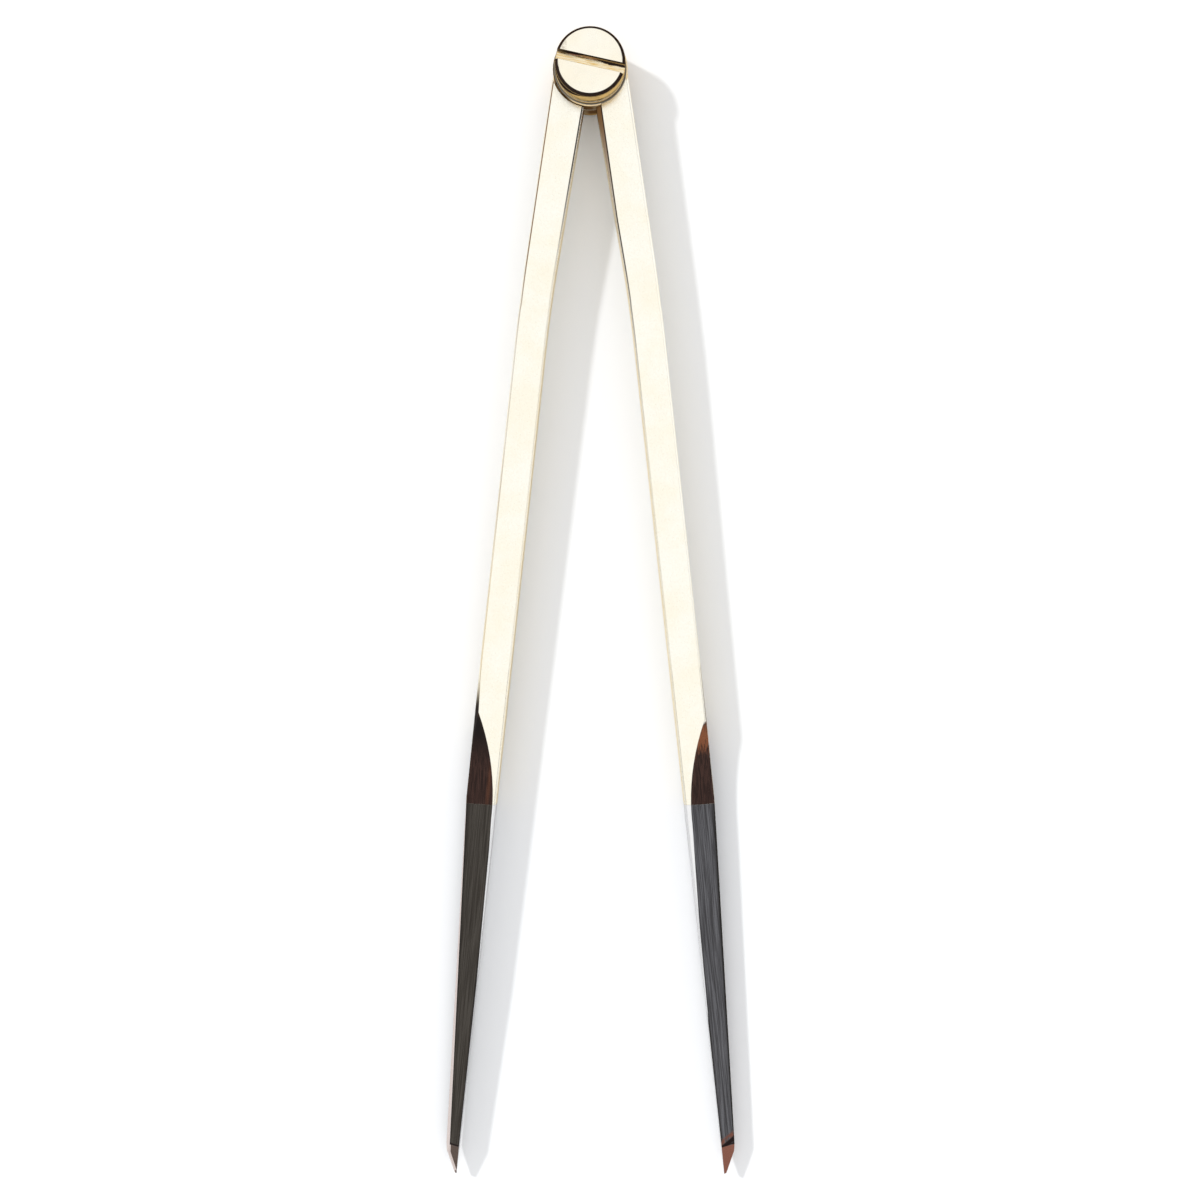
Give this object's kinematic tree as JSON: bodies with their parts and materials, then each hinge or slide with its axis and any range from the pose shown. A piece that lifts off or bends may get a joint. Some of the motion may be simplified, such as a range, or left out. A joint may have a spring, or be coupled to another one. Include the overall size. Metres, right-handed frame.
{
  "type": "chart divider",
  "caption": "Chart divider with bowed brass legs, ground steel points and a half-lapped friction hinge set by a slotted pivot screw.",
  "frame": {"origin": "the pivot axis where it meets the back of the post's flange, which lies on the table", "axes": "+Z along the pivot axis, from the flange to the slotted screw head; the legs point along -Y, and +X is towards the right leg"},
  "size_m": [0.0458, 0.1806, 0.0119],
  "materials": {
    "polished_brass": "polished, darker on the ground facets",
    "ground_steel": "ground lengthwise",
    "spring_steel": "straw tempered strip",
    "bronze": "plain rolled sheet"
  },
  "bodies": {
    "left_arm": {"left_leg": "polished_brass", "left_point": "ground_steel", "pivot_post": "polished_brass", "rear_washer": "polished_brass", "lap_washer": "bronze", "head_washer": "polished_brass", "wave_spring": "spring_steel"},
    "right_arm": {"right_leg": "polished_brass", "right_point": "ground_steel"},
    "screw": {"pivot_screw": "polished_brass"}
  },
  "joints": [
    {"name": "leg_opening", "type": "hinge", "parent": "left_arm", "child": "right_arm", "pos_m": [0, 0, 0.0052], "axis": [0, 0, 1], "range_deg": [-13.8, 166]},
    {"name": "screw_turn", "type": "hinge", "parent": "left_arm", "child": "screw", "pos_m": [0, 0, 0.0103], "axis": [0, 0, 1], "range_deg": [-30, 30]}
  ]
}
